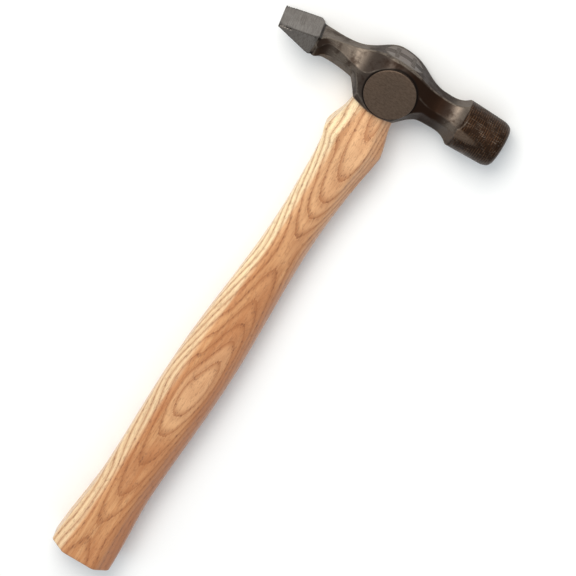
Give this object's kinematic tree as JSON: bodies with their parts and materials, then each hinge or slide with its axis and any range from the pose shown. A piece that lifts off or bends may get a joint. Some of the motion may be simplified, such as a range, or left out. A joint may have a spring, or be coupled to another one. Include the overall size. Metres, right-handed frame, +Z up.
{
  "type": "cross peen hammer",
  "caption": "Cross peen hammer with a forged steel head, round cheek bosses, turned poll and wedge peen, wedged onto a shaped ash handle.",
  "frame": {"origin": "middle of the lower cheek boss, straight below the middle of the eye, on the surface the hammer lies on", "axes": "+Z up, square to the cheeks; +X from the peen to the striking face; +Y out of the top of the eye, so the handle runs to -Y"},
  "size_m": [0.1016, 0.2717, 0.0208],
  "materials": {
    "forged_steel": "blackened forging, satin, with ground peen and turned poll",
    "ash_wood": "smooth, thin clear lacquer",
    "wedge_wood": "end grain darkened with the head",
    "wedge_steel": "dark, ground off level"
  },
  "bodies": {
    "root": {"hammer_head": "forged_steel", "handle": "ash_wood", "wood_wedge": "wedge_wood", "steel_wedge_front": "wedge_steel", "steel_wedge_back": "wedge_steel"}
  },
  "joints": []
}
